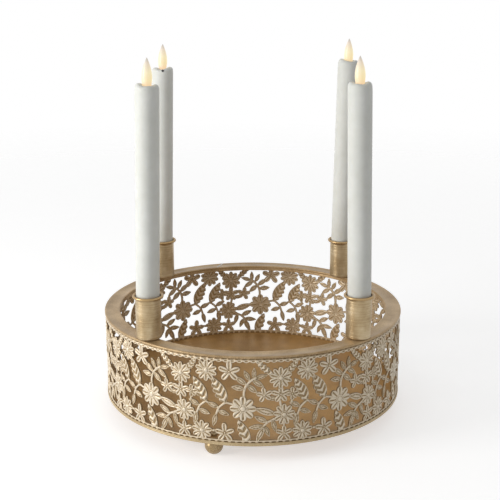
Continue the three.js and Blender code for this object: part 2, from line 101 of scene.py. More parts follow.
# Flower band: pattern width, foot and head, and the grid that its relief is drawn on
PATTERN_WIDTH = 93.6
PATTERN_FOOT = 2.0
PATTERN_HEAD = 86.3
PATTERN_TURN = -3.4
PANEL_EDGE = 12.6
PANEL_COUNT = 10
GRID_COLUMNS = 170
GRID_ROWS = 152
BAND_RADIUS = 148.5
BAND_SHEET = 0.7
EMBOSS_THROUGH = 0.8

# Cups
CUP_COUNT = 4
CUP_INSET = 11.5
CUP_FIRST_ANGLE = -44.5
CUP_RADIUS = 11.95
CUP_BORE = 11.55
CUP_HEIGHT = 42.0
CUP_FLOOR = 0.8
CUP_FLOOR_FILLET = 1.0
CUP_CORNER = 1.8
CUP_CORNER_STEPS = 8
CUP_FLARE = 0.3
CUP_FLARE_FOOT_DROP = 3.4
CUP_FLARE_HEAD_DROP = 2.5
CUP_MOUTH_DROP = 2.4
CUP_LIP_RADIUS = 14.6
CUP_LIP_ROLL = 1.3
CUP_LIP_ARC = (-110, 130)
CUP_LIP_STEPS = 14
CUP_STEPS = 96

# Fine grooves that the lathe left round each cup. Their depth varies in two waves.
LATHE_GROOVE_FOOT = 4.0
LATHE_GROOVE_HEADROOM = 4.6
LATHE_GROOVE_PITCH = 1.1
LATHE_GROOVE_WIDTH = 0.5
LATHE_GROOVE_DEPTH = 0.05
LATHE_GROOVE_WAVES = [(0.03, 2.3), (0.02, 5.1)]

# Cup rivets. The head's curve goes from its edge to its crown as (radius, height).
RIVET_HOLE_RADIUS = 1.9
RIVET_SHANK_RADIUS = 1.6
RIVET_TAIL_RADIUS = 2.8
RIVET_TAIL_ROUNDING = 0.9
RIVET_TAIL_STEPS = 4
RIVET_HEAD_HEIGHT = 1.0
RIVET_HEAD = [(3.3, 0), (3.5, 0.2), (3.1, 0.6), (2.2, 0.9), (1.0, 1.0), (0, 1.0)]
FASTENER_STEPS = 32

# Feet and their screws. The screw head is dished in the middle.
FOOT_COUNT = 3
FOOT_INSET = 17.0
FOOT_FIRST_ANGLE = -15.8
FOOT_RADIUS = 8.8
FOOT_FLAT = 0.3
FOOT_BALL_STEPS = 24
FOOT_STEPS = 48
FOOT_NECK_RADIUS = 4.0
FOOT_NECK_FILLET = 0.4
FOOT_NECK_RISE = 8.1
SCREW_HOLE_RADIUS = 2.0
SCREW_SHANK_RADIUS = 1.7
SCREW_LENGTH = 10.0
SCREW_HEAD = [(3.3, 0), (3.5, 0.2), (3.4, 1.0), (2.6, 1.6), (1.4, 1.8), (1.1, 1.2), (0, 1.0)]

# Candles. Each has its own length of wax and lean in the cup, and its melted edge has its own
# rise, tilt and start of the waves.
CANDLE_NAMES = ["front_left", "front_right", "back_right", "back_left"]
CANDLE_LENGTHS = [233.2, 234.6, 232.6, 227.0]
CANDLE_LEANS = [1.2, -1.3, 1.0, 1.25]
WAX_RISES = [0.8, 1.0, 2.2, -0.4]
WAX_TILTS = [0.6, 0.0, 0.7, -0.4]
WAX_WAVE_STARTS = [0.6, 2.3, 4.0, 5.7]
CANDLE_RADIUS = 11.0
CANDLE_FOOT_RADIUS = 10.0
CANDLE_FOOT_LENGTH = 35.0
CANDLE_ROUNDING = 0.4
CANDLE_CHAMFER = 1.0
CANDLE_BORE = 8.3
CANDLE_TOP_THICKNESS = 5.0
CANDLE_STEPS = 96
CAP_FLANGE = 3.0

# Heights and drops of the rings of points along the wall of the wax
WALL_HEIGHTS = (80.0, 130.0, 180.0)
WALL_DROPS = (12.0, 9.0, 7.0)

# Melted top of the wax: rounded shoulder, and the dish inside it as (radius, drop)
SHOULDER_RADIUS = 3.1
SHOULDER_INSET = 3.2
SHOULDER_ARC = (8, 112)
SHOULDER_STEPS = 12
SLOUCH_INSET = 0.05
SLOUCH_DROP = 5.0
DISH_DEPTH = 2.2
DISH = [(6.2, 0.7), (5.5, 1.4), (4.9, 2.0), (4.2, DISH_DEPTH)]
SOCKET_RADIUS = 3.05

# How the wax has melted: how far down, and from which radius outwards
MELT_DEPTH = 9.0
MELT_INNER_RADIUS = 4.6
MELT_FADE = 2.0
MELT_DIP = 1.2
MELT_BACK_DIP = 0.8
MELT_WAVES = (0.2, 0.15)
MELT_SLUMP = 0.18

# Flame tips. The outline goes up from the foot as (share of width, share of height).
FLAME_RADIUS = 4.75
FLAME_LENGTH = 26.0
FLAME_STEM_RADIUS = 2.7
FLAME_SOCKET_RADIUS = 1.7
FLAME_POCKET_DEPTH = 5.0
FLAME_STEPS = 48
FLAME_OUTLINE = [
    (0.8, 0.03),
    (0.87, 0.08),
    (0.93, 0.15),
    (0.98, 0.24),
    (1.0, 0.33),
    (0.98, 0.42),
    (0.92, 0.51),
    (0.83, 0.6),
    (0.7, 0.69),
    (0.54, 0.78),
    (0.35, 0.87),
    (0.2, 0.935),
    (0.08, 0.98),
]

# Receiver eye, in front of the flame of one candle
EYE_CANDLE = "back_left"
EYE_RADIUS = 1.35
EYE_ARC = (-75, 75)
EYE_ARC_STEPS = 10
EYE_STEPS = 24
EYE_X = 0.9
EYE_Y = -10.1
EYE_DROP = 2.9

# Studio, in metres
SENSOR_WIDTH = 36.0
CAMERA_LENS = 79.405
CAMERA_SHIFT = -0.0056
CAMERA_PLACE = (0.0, -1.06975, 0.46272)
CAMERA_PITCH = 15.74
CAMERA_REACH = 20.0
LAMP_PLACE = (-1.26, -0.54, 0.42)
LAMP_TARGET = (0, 0, 0.12)
LAMP_SIZE = (0.6, 0.78)
LAMP_POWER = 13.2
LAMP_COLOUR = (1.0, 0.995, 0.985)
WORLD_LIGHT = 0.45
PAPER_REACH = 2.0
PAPER_TONES = (0.7, 0.72)
PAPER_GLOW = 0.55
PAPER_FADE = (0.6, 1.8)


# Materials
METAL_GLOSS = 0.2
WAX_GLOSS = 0.2
METAL_STOPS = (0.32, 0.68)

# Grain of the metals: size and depth, and its share in their tone
GRAIN_SCALE = 900.0
GRAIN_DEPTH = 0.00008
GRAIN_SHARE = 0.45


def srgb(red, green, blue):
    def linear(channel):
        value = channel / 255
        return value / 12.92 if value <= 0.04045 else ((value + 0.055) / 1.055) ** 2.4

    return (linear(red), linear(green), linear(blue), 1.0)


class Shader:
    """A node tree with a Principled shader at its end."""

    def __init__(self, name, **constants):
        self.material = bpy.data.materials.new(name)
        self.material.use_nodes = True
        self.tree = self.material.node_tree
        self.principled = self.tree.nodes["Principled BSDF"]
        for socket, value in constants.items():
            self.principled.inputs[socket.replace("_", " ")].default_value = value
        self.coordinates = self.tree.nodes.new("ShaderNodeTexCoord").outputs["Object"]

    def node(self, kind, settings=(), **inputs):
        node = self.tree.nodes.new(kind)
        for key, value in settings:
            setattr(node, key, value)
        for key, value in inputs.items():
            self.feed(node.inputs[key.replace("_", " ")], value)
        return node

    def feed(self, socket, value):
        if isinstance(value, bpy.types.NodeSocket):
            self.tree.links.new(value, socket)
        else:
            socket.default_value = value

    def stretched(self, x, y, z):
        mapping = self.node("ShaderNodeMapping", Vector=self.coordinates)
        mapping.inputs["Scale"].default_value = (x, y, z)
        return mapping.outputs["Vector"]

    def noise(self, scale, detail=3.0, vector=None):
        place = self.coordinates if vector is None else vector
        node = self.node("ShaderNodeTexNoise", Vector=place, Scale=scale, Detail=detail)
        return node.outputs["Fac"]

    def height(self):
        return self.node("ShaderNodeSeparateXYZ", Vector=self.coordinates).outputs["Z"]

    def length(self, vector):
        node = self.node("ShaderNodeVectorMath", (("operation", "LENGTH"),), Vector=vector)
        return node.outputs["Value"]

    def ramp(self, factor, *stops):
        ramp = self.node("ShaderNodeValToRGB", Fac=factor)
        elements = ramp.color_ramp.elements
        while len(elements) < len(stops):
            elements.new(0.5)
        for element, (place, colour) in zip(elements, stops):
            element.position = place
            element.color = colour
        return ramp.outputs["Color"]

    def share(self, value, low, high):
        """From 0 at the low value to 1 at the high one."""
        node = self.node("ShaderNodeMapRange", Value=value, From_Min=low, From_Max=high)
        return node.outputs["Result"]

    def spread(self, noise, low, high):
        """A noise, most of which lies between 0.3 and 0.7, spread from low to high."""
        node = self.node(
            "ShaderNodeMapRange", Value=noise, From_Min=0.3, From_Max=0.7, To_Min=low, To_Max=high
        )
        return node.outputs["Result"]

    def mixed(self, factor, first, second):
        node = self.tree.nodes.new("ShaderNodeMix")
        node.data_type = "RGBA"
        first_colour, second_colour = (s for s in node.inputs if s.type == "RGBA")
        mixed_colour = next(s for s in node.outputs if s.type == "RGBA")
        self.feed(node.inputs["Factor"], factor)
        self.feed(first_colour, first)
        self.feed(second_colour, second)
        return mixed_colour

    def bumped(self, height, distance, strength):
        node = self.node("ShaderNodeBump", Height=height, Distance=distance, Strength=strength)
        self.tree.links.new(node.outputs["Normal"], self.principled.inputs["Normal"])

    def finish(self, colour, roughness=None):
        self.feed(self.principled.inputs["Base Color"], colour)
        if roughness is not None:
            self.feed(self.principled.inputs["Roughness"], roughness)
        return self.material


def metal_tone(shader, cloud_scale):
    """Clouds of tone with a fine grain, and the grain alone, which also roughens the surface."""
    clouds = shader.noise(cloud_scale, detail=4.0)
    grain = shader.noise(GRAIN_SCALE, detail=2.0)
    shader.bumped(grain, distance=GRAIN_DEPTH, strength=0.5)
    return shader.mixed(GRAIN_SHARE, clouds, grain), grain


def two_tones(shader, tone, dark, light):
    return shader.ramp(tone, *zip(METAL_STOPS, (dark, light)))


def lacquered_metal(name, dark, light, cloud_scale, roughness, metallic=1.0):
    shader = Shader(name, Metallic=metallic, Specular_IOR_Level=METAL_GLOSS)
    tone, grain = metal_tone(shader, cloud_scale)
    return shader.finish(two_tones(shader, tone, dark, light), shader.spread(grain, *roughness))


def pan_metal():
    """Golden inside, with the paler tone of the band on the lip round it."""
    shader = Shader("pan_metal", Metallic=0.4, Specular_IOR_Level=METAL_GLOSS)
    tone, grain = metal_tone(shader, 30.0)
    inside = two_tones(shader, tone, srgb(156, 118, 70), srgb(208, 166, 106))
    outside = two_tones(shader, tone, srgb(168, 144, 106), srgb(212, 192, 154))
    radius = shader.length(shader.stretched(1, 1, 0))
    lip_inside = TRAY_RADIUS - EDGE_SHEET
    on_lip = shader.share(radius, (lip_inside - 0.4) * MM, lip_inside * MM)
    return shader.finish(shader.mixed(on_lip, inside, outside), shader.spread(grain, 0.38, 0.5))


def band_metal():
    """Embossed band: pale worn ridges, and painted shade that turns the slopes golden and darkens
    the hollows and the cut edges.
    """
    shader = Shader("band_metal", Metallic=0.15, Specular_IOR_Level=0.25)
    # The relief attribute brings the painted shade of the slopes, hollows and cut edges
    relief = shader.node("ShaderNodeAttribute", (("attribute_name", "relief"),)).outputs["Fac"]
    clouds = shader.noise(45.0, detail=4.0)
    fine = shader.noise(1500.0, detail=2.0)
    tone = shader.mixed(0.14, relief, clouds)
    tone = shader.mixed(0.08, tone, fine)
    colour = shader.ramp(
        tone,
        (0.05, srgb(50, 36, 23)),
        (0.25, srgb(122, 96, 63)),
        (0.55, srgb(184, 159, 119)),
        (0.85, srgb(232, 218, 195)),
    )
    shader.bumped(fine, distance=0.00006, strength=0.5)
    return shader.finish(colour, shader.spread(clouds, 0.26, 0.36))


def cup_metal():
    """Turned metal: fine rings round the axis, uneven tarnish and a golden lip."""
    shader = Shader("cup_metal", Metallic=0.7, Specular_IOR_Level=METAL_GLOSS)
    rings = shader.noise(60.0, detail=6.0, vector=shader.stretched(0.25, 0.25, 40.0))
    clouds = shader.noise(70.0)
    colour = shader.ramp(
        shader.mixed(0.5, rings, clouds),
        (0.34, srgb(142, 117, 80)),
        (0.5, srgb(182, 161, 126)),
        (0.66, srgb(210, 193, 162)),
    )
    lip_foot = CUP_HEIGHT - CUP_MOUTH_DROP
    on_lip = shader.share(shader.height(), (lip_foot - 0.6) * MM, lip_foot * MM)
    shader.bumped(rings, distance=0.00012, strength=0.6)
    golden = shader.mixed(on_lip, colour, srgb(176, 148, 106))
    return shader.finish(golden, shader.spread(rings, 0.3, 0.42))


def wax_coat():
    """Off-white wax: soft and faintly mottled."""
    shader = Shader(
        "wax_coat", Subsurface_Weight=0.08, Subsurface_Scale=0.003, Specular_IOR_Level=WAX_GLOSS
    )
    shader.principled.inputs["Subsurface Radius"].default_value = (1.0, 0.85, 0.6)
    mottle = shader.noise(55.0, detail=4.0)
    colour = shader.ramp(mottle, (0.3, srgb(221, 222, 215)), (0.7, srgb(231, 232, 227)))
    shader.bumped(shader.noise(220.0), distance=0.0002, strength=0.35)
    return shader.finish(colour, shader.spread(mottle, 0.42, 0.56))


def flame_glow(name, length):
    """A frosted flame lit from inside: amber at its foot, pale yellow above, dim at the tip."""
    shader = Shader(
        f"flame_glow_{name}", Subsurface_Weight=0.2, Subsurface_Scale=0.002, Emission_Strength=0.75
    )
    start = length - DISH_DEPTH
    rise = shader.share(shader.height(), start * MM, (start + FLAME_LENGTH) * MM)
    light = shader.ramp(
        rise,
        (0.05, srgb(250, 212, 160)),
        (0.25, srgb(250, 226, 156)),
        (0.5, srgb(250, 232, 172)),
        (0.8, srgb(230, 212, 182)),
        (1.0, srgb(176, 168, 158)),
    )
    shader.feed(shader.principled.inputs["Emission Color"], light)
    skin = shader.ramp(
        rise,
        (0.1, srgb(158, 154, 156)),
        (0.5, srgb(154, 152, 160)),
        (0.8, srgb(148, 146, 148)),
        (1.0, srgb(140, 138, 138)),
    )
    return shader.finish(skin, shader.spread(shader.noise(400.0), 0.3, 0.45))


def moulded_plastic(name, dark, light, roughness):
    """Moulded plastic, with a fine grain and a faint change of tone."""
    shader = Shader(name)
    grain = shader.noise(700.0)
    shader.bumped(grain, distance=0.00005, strength=0.5)
    colour = shader.ramp(shader.noise(60.0), (0.3, dark), (0.7, light))
    return shader.finish(colour, shader.spread(grain, *roughness))


RIM_METAL = lacquered_metal(
    "rim_metal", srgb(144, 116, 79), srgb(210, 182, 141), 38.0, (0.3, 0.44), metallic=0.3
)
FOOT_METAL = lacquered_metal(
    "foot_metal", srgb(150, 126, 88), srgb(196, 174, 136), 90.0, (0.2, 0.32), metallic=0.4
)
STEEL = lacquered_metal(
    "plated_steel", srgb(160, 160, 162), srgb(205, 205, 205), 120.0, (0.3, 0.45)
)
CELL_METAL = lacquered_metal(
    "cell_metal", srgb(140, 144, 150), srgb(184, 187, 190), 150.0, (0.28, 0.42)
)
PAN_METAL = pan_metal()
BAND_METAL = band_metal()
CUP_METAL = cup_metal()
WAX = wax_coat()
CAP_PLASTIC = moulded_plastic(
    "cap_plastic", srgb(222, 222, 214), srgb(234, 233, 226), (0.38, 0.5)
)
SWITCH_PLASTIC = moulded_plastic("switch_plastic", srgb(28, 28, 29), srgb(44, 44, 45), (0.35, 0.5))
HOLDER_PLASTIC = moulded_plastic(
    "holder_plastic", srgb(140, 143, 144), srgb(160, 162, 162), (0.4, 0.55)
)
BOARD_PLASTIC = moulded_plastic("board_plastic", srgb(38, 96, 60), srgb(56, 120, 76), (0.3, 0.5))


# Pieces
def add_piece(name, vertices, faces, material, body, replaced, place=None):
    mesh = bpy.data.meshes.new(name)
    mesh.from_pydata([(x * MM, y * MM, z * MM) for x, y, z in vertices], [], faces)
    mesh.polygons.foreach_set("use_smooth", [True] * len(mesh.polygons))
    mesh.materials.append(material)
    mesh.update()
    piece = bpy.data.objects.new(name, mesh)
    bpy.context.scene.collection.objects.link(piece)
    if place is not None:
        piece.matrix_world = place
    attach(piece, body)
    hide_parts(*replaced)
    return piece


def arc(centre, radius, start, end, steps):
    angles = [math.radians(start + (end - start) * i / steps) for i in range(steps + 1)]
    return [(centre[0] + radius * math.cos(a), centre[1] + radius * math.sin(a)) for a in angles]


def turned(profile, steps, ring=False, waver=None):
    """Vertices and faces of a counter-clockwise (radius, height) profile turned about Z."""
    vertices = []
    rows = []
    for radius, height in profile:
        if radius == 0:
            rows.append([len(vertices)] * steps)
            vertices.append((0.0, 0.0, height))
            continue
        rows.append(range(len(vertices), len(vertices) + steps))
        for i in range(steps):
            angle = 2 * math.pi * i / steps
            r, z = (radius, height) if waver is None else waver(radius, height, angle)
            vertices.append((r * math.cos(angle), r * math.sin(angle), z))
    pairs = list(zip(rows, rows[1:]))
    if ring:
        pairs.append((rows[-1], rows[0]))
    faces = []
    for low, high in pairs:
        for i in range(steps):
            after = (i + 1) % steps
            corners = (low[i], low[after], high[after], high[i])
            faces.append(tuple(dict.fromkeys(corners)))
    return vertices, faces


def place_at(degrees, radius):
    angle = math.radians(degrees)
    return radius * math.sin(angle), -radius * math.cos(angle)


def at(x, y, z):
    return Matrix.Translation((x * MM, y * MM, z * MM))


# Rim
def drawn_line(height, half_width):
    """A fine groove round the inner lip."""
    return [
        (RIM_INNER_RADIUS, height + half_width),
        (RIM_INNER_RADIUS + RIM_LINE_DEPTH, height),
        (RIM_INNER_RADIUS, height - half_width),
    ]


def rim():
    corner = RIM_TOP - RIM_ROUNDING
    underside = RIM_TOP - RIM_SHEET
    recess = RIM_TOP - RIM_RECESS_DEPTH
    lip_foot = RIM_TOP - RIM_LIP_DROP
    edge_foot = RIM_TOP - RIM_EDGE_DROP
    edge_inside = TRAY_RADIUS - EDGE_SHEET
    fold = (TRAY_RADIUS - RIM_EDGE_FOLD, edge_foot + RIM_EDGE_FOLD)
    outer_corner = (TRAY_RADIUS - RIM_ROUNDING, corner)
    inner_corner = (RIM_INNER_RADIUS + RIM_ROUNDING, corner)
    recess_outer = TRAY_RADIUS - RIM_RECESS_OUTER_INSET
    recess_inner = RIM_INNER_RADIUS + RIM_RECESS_INNER_INSET
    profile = [
        (RIM_INNER_RADIUS + RIM_LIP_CHAMFER, lip_foot),
        (RIM_INNER_RADIUS + RIM_SHEET, lip_foot),
        (RIM_INNER_RADIUS + RIM_SHEET, underside),
        (edge_inside, underside),
        (edge_inside, edge_foot),
        *arc(fold, RIM_EDGE_FOLD, -90, 0, FOLD_STEPS),
        *arc(outer_corner, RIM_ROUNDING, 0, 90, RIM_ROUNDING_STEPS),
        (recess_outer, RIM_TOP),
        (recess_outer - RIM_RECESS_SLOPE, recess),
        (recess_inner + RIM_RECESS_SLOPE, recess),
        (recess_inner, RIM_TOP),
        *arc(inner_corner, RIM_ROUNDING, 90, 180, RIM_ROUNDING_STEPS),
    ]
    for drop, half_width in RIM_LINES:
        profile += drawn_line(RIM_TOP - drop, half_width)
    profile.append((RIM_INNER_RADIUS, lip_foot + RIM_LIP_CHAMFER))
    vertices, faces = turned(profile, RING_STEPS, ring=True)
    add_piece("rim", vertices, faces, RIM_METAL, "tray", ["rim_ring"])


def rim_joint():
    """The slanting line across the back of the rim where its ends are joined."""
    inner_angle, outer_angle = RIM_JOINT_ANGLES
    outer = place_at(outer_angle, TRAY_RADIUS - RIM_JOINT_INSET)
    inner = place_at(inner_angle, RIM_INNER_RADIUS + RIM_JOINT_INSET)
    across = (outer[0] - inner[0], outer[1] - inner[1])
    length = math.hypot(*across)
    side = (-across[1] / length, across[0] / length)
    vertices = [
        (end[0] + side[0] * offset, end[1] + side[1] * offset, RIM_TOP + height)
        for end in (inner, outer)
        for offset, height in RIM_JOINT_SECTION
    ]
    count = len(RIM_JOINT_SECTION)
    faces = [(i, i + count, i + count + 1, i + 1) for i in range(count - 1)]
    faces.append((0, count - 1, 2 * count - 1, count))
    faces.append(tuple(range(count)))
    faces.append(tuple(range(2 * count - 1, count - 1, -1)))
    add_piece("rim_joint", vertices, faces, STEEL, "tray", [])


def pan():
    edge_inside = TRAY_RADIUS - EDGE_SHEET
    inner_fold = (edge_inside, PAN_BOTTOM + PAN_INNER_FOLD)
    outer_fold = (TRAY_RADIUS - PAN_OUTER_FOLD, PAN_BOTTOM + PAN_OUTER_FOLD)
    recess_foot = PAN_BOTTOM + PAN_RECESS_FOOT
    recess_head = PAN_LIP_TOP - PAN_RECESS_HEAD
    recess_radius = TRAY_RADIUS - PAN_RECESS_DEPTH
    roll = EDGE_SHEET / 2
    profile = [
        (0, FLOOR_BOTTOM),
        *[(radius, FLOOR_BOTTOM) for radius in PAN_FLOOR_RINGS],
        (TRAY_RADIUS - PAN_SLOPE_WIDTH, FLOOR_BOTTOM),
        *arc(inner_fold, PAN_INNER_FOLD, -150, -90, FOLD_STEPS),
        *arc(outer_fold, PAN_OUTER_FOLD, -90, 0, FOLD_STEPS + 1),
        (TRAY_RADIUS, recess_foot),
        (recess_radius, recess_foot + PAN_RECESS_SLOPE),
        (recess_radius, recess_head - PAN_RECESS_SLOPE),
        (TRAY_RADIUS, recess_head),
        *arc((TRAY_RADIUS - roll, PAN_LIP_TOP - roll), roll, 0, 180, PAN_ROLL_STEPS),
        (edge_inside, FLOOR_TOP + PAN_CHAMFER),
        (edge_inside - PAN_CHAMFER, FLOOR_TOP),
        *[(radius, FLOOR_TOP) for radius in reversed(PAN_FLOOR_RINGS)],
        (0, FLOOR_TOP),
    ]
    vertices, faces = turned(profile, RING_STEPS)
    add_piece("pan", vertices, faces, PAN_METAL, "tray", ["tray_pan"])


# Flower band. The relief is drawn on a flat grid of one repeat: u round the tray, v up.
GRID_U, GRID_V = np.meshgrid(
    PANEL_EDGE - PATTERN_WIDTH + PATTERN_WIDTH * np.arange(GRID_COLUMNS + 1) / GRID_COLUMNS,
    PATTERN_FOOT + (PATTERN_HEAD - PATTERN_FOOT) * np.arange(GRID_ROWS + 1) / GRID_ROWS,
    indexing="ij",
)

# Edge distance of a place that nothing covers yet
OUTSIDE = -50.0

# Rolled edges: how far in from the cut they end
RIDGE = 0.75

# Petals: how much wider at the tip, and the groove along the middle
PETAL_WIDENING = 0.2
PETAL_GROOVE_DEPTH = 0.6
PETAL_GROOVE_DEEPENING = 0.8
PETAL_GROOVE_SHARES = (-0.3, 0.5)
PETAL_GROOVE_WIDTH = 0.6
PETAL_MARGIN = (0.4, 1.1)

# Where petals start: in from the middle of a blossom, and as a share of a daisy's boss
BLOSSOM_PETAL_START = 0.2
DAISY_PETAL_SHARE = 0.5
BLOSSOM_BOSS = 1.5

# Bosses in the flowers: a dome with a groove and a ring of beads at shares of the radius
BOSS_HEIGHT = 1.5
BOSS_ROUNDNESS = 0.75
BOSS_STEEPNESS = 1.6
BOSS_GROOVE_DEPTH = 0.9
BOSS_GROOVE_SHARE = 0.62
BOSS_GROOVE_WIDTH = 0.32
BEAD_COUNT = 12
BEAD_HEIGHT = 0.3
BEAD_SHARES = (0.68, 0.8)

# Leaves: shape of the outline, and the groove inside it at a share of the half width
LEAF_BELLY = 0.85
LEAF_FULLNESS = 0.85
LEAF_GROOVE_DEPTH = 1.1
LEAF_GROOVE_SHARE = 0.52
LEAF_GROOVE_WIDTH = 0.4
LEAF_MIDDLE_DROP = 0.15
LEAF_MIDDLE_WIDTH = 0.6

# Feather leaves: shape of the outline and teeth, slanting veins and a rib
FEATHER_HEIGHT = 1.05
FEATHER_BELLY = 0.8
FEATHER_FULLNESS = 0.75
TOOTH_CROWDING = 1.1
TOOTH_BLUNTNESS = 0.6
TOOTH_SHARE = 0.45
VEIN_SLANT = 0.9
VEIN_DEPTH = 1.0
VEIN_MARGIN = (0.4, 1.2)
RIB_HEIGHT = 0.45
RIB_WIDTH = 0.55

# Stems
STEM_HEIGHT = 0.85
STEM_STEEPNESS = 1.2

# Border: lobes in one repeat, scalloped head, plain foot, and their grooves, dashes and dots
LOBE_COUNT = 15
BORDER_HEIGHT = 0.9
DASH_LOBES = (0.4, 0.85)
HEAD_FOOT = 82.2
HEAD_SCALLOP = 1.3
HEAD_GROOVE_DEPTH = 0.5
HEAD_DASH_DEPTH = 0.9
HEAD_GROOVE = (83.5, 84.3)
DOT_LOBES = (0.65, 0.95)
DOT_DEPTH = 0.7
DOT_HEIGHT = 82.8
DOT_WIDTH = 0.5
FOOT_HEAD = 5.6
FOOT_GROOVE_DEPTH = 0.2
FOOT_DASH_DEPTH = 0.45
FOOT_GROOVE = (3.9, 4.6)


def smooth(values, low, high):
    """From 0 at the low value to 1 at the high one, with soft ends."""
    share = np.clip((values - low) / (high - low), 0, 1)
    return share * share * (3 - 2 * share)


def crease(distance, width):
    """1 on a line, fading to nothing about twice its width away."""
    return np.exp(-((distance / width) ** 2))


def rounded(edge):
    """Height of a rolled edge, from 0 at the cut to 1 at RIDGE millimetres in."""
    share = np.clip(edge / RIDGE, 0, 1)
    return np.sqrt(share * (2 - share))


class Relief:
    """The band as drawn so far: distance in from the nearest cut, and embossed height."""

    def __init__(self):
        self.edge = np.full(GRID_U.shape, OUTSIDE)
        self.height = np.zeros(GRID_U.shape)

    def lay(self, edge, height):
        self.height = np.where(edge > 0, height, self.height)
        self.edge = np.maximum(self.edge, edge)


def local(foot, tip):
    """Grid places along and to the left of the line from foot to tip, and its length."""
    du = (GRID_U - foot[0] + PATTERN_WIDTH / 2) % PATTERN_WIDTH - PATTERN_WIDTH / 2
    dv = GRID_V - foot[1]
    length = math.hypot(tip[0] - foot[0], tip[1] - foot[1])
    along = ((tip[0] - foot[0]) / length, (tip[1] - foot[1]) / length)
    return du * along[0] + dv * along[1], dv * along[0] - du * along[1], length


def blade_edge(x, y, length, half_width):
    """Distance in from the side of a blade, which is below 0 past its foot and tip."""
    beyond = np.maximum(-x, x - length)
    return np.where(beyond > 0, -beyond - np.abs(y), half_width - np.abs(y))


def lay_petal(relief, centre, degrees, start, reach, half_width):
    """A petal that widens outwards, with a groove along its middle that deepens outwards."""
    angle = math.radians(degrees)
    tip = (centre[0] + math.cos(angle), centre[1] + math.sin(angle))
    x, y, _ = local(centre, tip)
    middle = (start + reach) / 2
    half_length = (reach - start) / 2
    share = (x - middle) / half_length
    width = half_width * (1 + PETAL_WIDENING * share)
    edge = (1 - np.sqrt(share**2 + (y / width) ** 2)) * half_width
    depth = PETAL_GROOVE_DEPTH + PETAL_GROOVE_DEEPENING * smooth(share, *PETAL_GROOVE_SHARES)
    groove = depth * crease(y, PETAL_GROOVE_WIDTH) * smooth(edge, *PETAL_MARGIN)
    relief.lay(edge, rounded(edge) - groove)


def lay_boss(relief, centre, radius):
    x, y, _ = local(centre, (centre[0] + 1, centre[1]))
    distance = np.hypot(x, y)
    edge = radius - distance
    rise = np.clip(1 - BOSS_ROUNDNESS * (distance / radius) ** 2, 0, 1)
    dome = BOSS_HEIGHT * np.sqrt(rise)
    groove = BOSS_GROOVE_DEPTH * crease(distance - BOSS_GROOVE_SHARE * radius, BOSS_GROOVE_WIDTH)
    ring = smooth(distance, BEAD_SHARES[0] * radius, BEAD_SHARES[1] * radius)
    beads = BEAD_HEIGHT * np.cos(BEAD_COUNT * np.arctan2(y, x)) * ring
    relief.lay(edge, (dome - groove + beads) * rounded(edge * BOSS_STEEPNESS))


def lay_leaf(relief, foot, tip, width):
    """A leaf with a groove inside its rolled edge, round a middle that is a bit lower."""
    x, y, length = local(foot, tip)
    share = np.clip(x / length, 0, 1)
    half_width = width / 2 * np.sin(math.pi * share**LEAF_BELLY) ** LEAF_FULLNESS
    edge = blade_edge(x, y, length, half_width)
    groove_in = LEAF_GROOVE_SHARE * width / 2
    groove = LEAF_GROOVE_DEPTH * crease(edge - groove_in, LEAF_GROOVE_WIDTH)
    middle = LEAF_MIDDLE_DROP * smooth(edge, groove_in, groove_in + LEAF_MIDDLE_WIDTH)
    relief.lay(edge, rounded(edge) - groove - middle)


def lay_feather(relief, foot, tip, width, teeth, both_sides=False):
    """A feather leaf, toothed on its left side or on both, with slanting veins and a rib."""
    x, y, length = local(foot, tip)
    share = np.clip(x / length, 0, 1)
    smooth_side = width / 2 * np.sin(math.pi * share**FEATHER_BELLY) ** FEATHER_FULLNESS
    tooth = np.abs(np.sin(math.pi * teeth * share**TOOTH_CROWDING)) ** TOOTH_BLUNTNESS
    toothed_side = smooth_side * (1 - TOOTH_SHARE + TOOTH_SHARE * tooth)
    right_side = toothed_side if both_sides else smooth_side
    edge = blade_edge(x, y, length, np.where(y > 0, toothed_side, right_side))
    slant = x - VEIN_SLANT * np.abs(y)
    vein = 0.5 + 0.5 * np.cos(2 * math.pi * slant / (length / teeth))
    veins = VEIN_DEPTH * vein * smooth(edge, *VEIN_MARGIN)
    rib = RIB_HEIGHT * crease(y, RIB_WIDTH)
    relief.lay(edge, (FEATHER_HEIGHT + rib) * rounded(edge) - veins)


def lay_stem(relief, width, *points):
    edge = np.full(GRID_U.shape, OUTSIDE)
    for start, end in zip(points, points[1:]):
        x, y, length = local(start, end)
        beyond = np.maximum(np.maximum(-x, x - length), 0)
        edge = np.maximum(edge, width / 2 - np.hypot(beyond, y))
    relief.lay(edge, STEM_HEIGHT * rounded(edge * STEM_STEEPNESS))


def lay_border(relief):
    """Scalloped head with a row of dots, and plain foot, each with a groove deeper in dashes."""
    lobes = np.abs(np.sin(math.pi * LOBE_COUNT * GRID_U / PATTERN_WIDTH))
    dashes = smooth(lobes, *DASH_LOBES)
    head_edge = GRID_V - HEAD_FOOT + HEAD_SCALLOP * lobes
    head_depth = HEAD_GROOVE_DEPTH + HEAD_DASH_DEPTH * dashes
    head_groove = head_depth * smooth(GRID_V, *HEAD_GROOVE)
    dots = DOT_DEPTH * smooth(lobes, *DOT_LOBES) * crease(GRID_V - DOT_HEIGHT, DOT_WIDTH)
    relief.lay(head_edge, BORDER_HEIGHT * rounded(head_edge) - head_groove - dots)
    foot_edge = FOOT_HEAD - GRID_V
    foot_depth = FOOT_GROOVE_DEPTH + FOOT_DASH_DEPTH * dashes
    foot_groove = foot_depth * (1 - smooth(GRID_V, *FOOT_GROOVE))
    relief.lay(foot_edge, BORDER_HEIGHT * rounded(foot_edge) - foot_groove)


